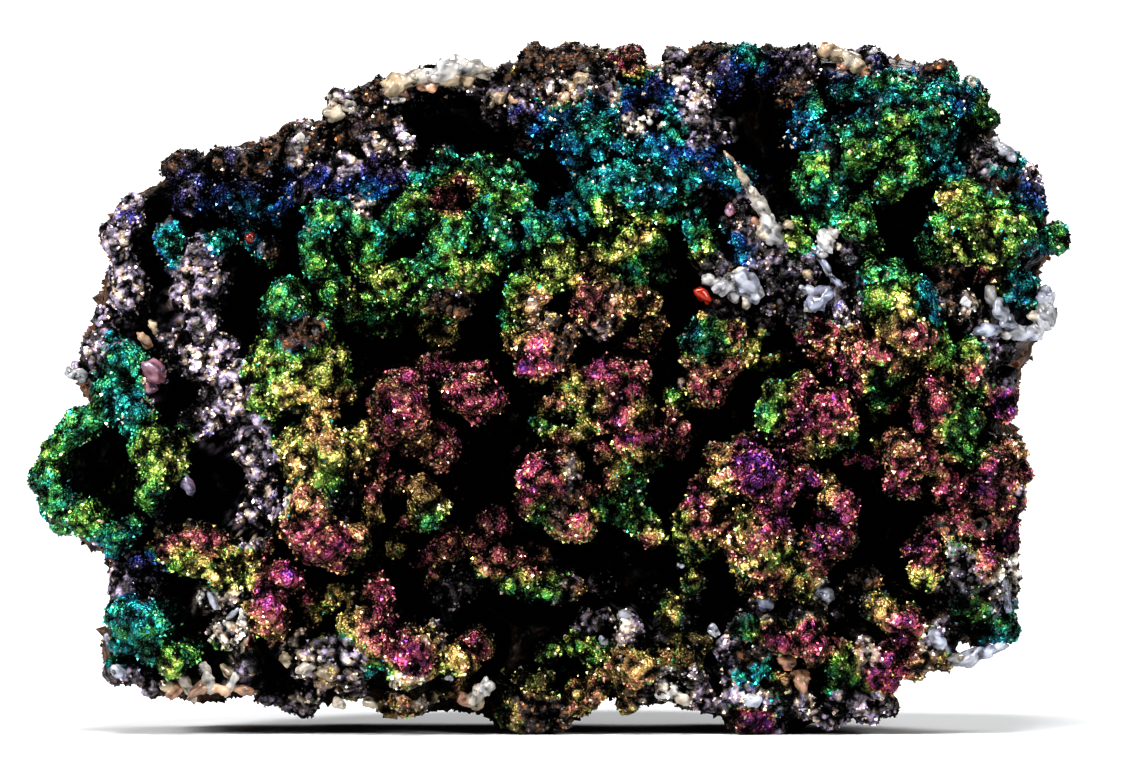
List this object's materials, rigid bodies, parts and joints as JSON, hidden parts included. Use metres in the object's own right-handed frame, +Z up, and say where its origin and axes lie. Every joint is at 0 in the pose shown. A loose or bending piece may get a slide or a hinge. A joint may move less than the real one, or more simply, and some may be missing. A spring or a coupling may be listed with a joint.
{
  "type": "mineral specimen",
  "caption": "Iridescent goethite hand specimen: a broken chunk whose face is a crowd of granular columns around deep dark recesses, with a rainbow film and white quartz at its edges.",
  "frame": {"origin": "middle of the bounding box in plan, on the surface that the specimen stands on", "axes": "+X along the width of the face, to the viewer's right; the grown face looks towards -Y and the broken back towards +Y; +Z up"},
  "size_m": [0.1048, 0.0492, 0.0697],
  "materials": {
    "goethite": "granular, near-metallic, with an iridescent film over near-black",
    "quartz": "glassy to sugary, white to cream"
  },
  "bodies": {
    "root": {"goethite_mass": "goethite", "quartz_top_slab": "quartz", "quartz_cream_patch": "quartz", "quartz_right_edge": "quartz", "quartz_sliver": "quartz", "quartz_vein": "quartz", "quartz_white_cluster": "quartz", "quartz_tooth": "quartz", "quartz_knob": "quartz", "quartz_left_foot": "quartz", "quartz_foot": "quartz"}
  },
  "joints": []
}
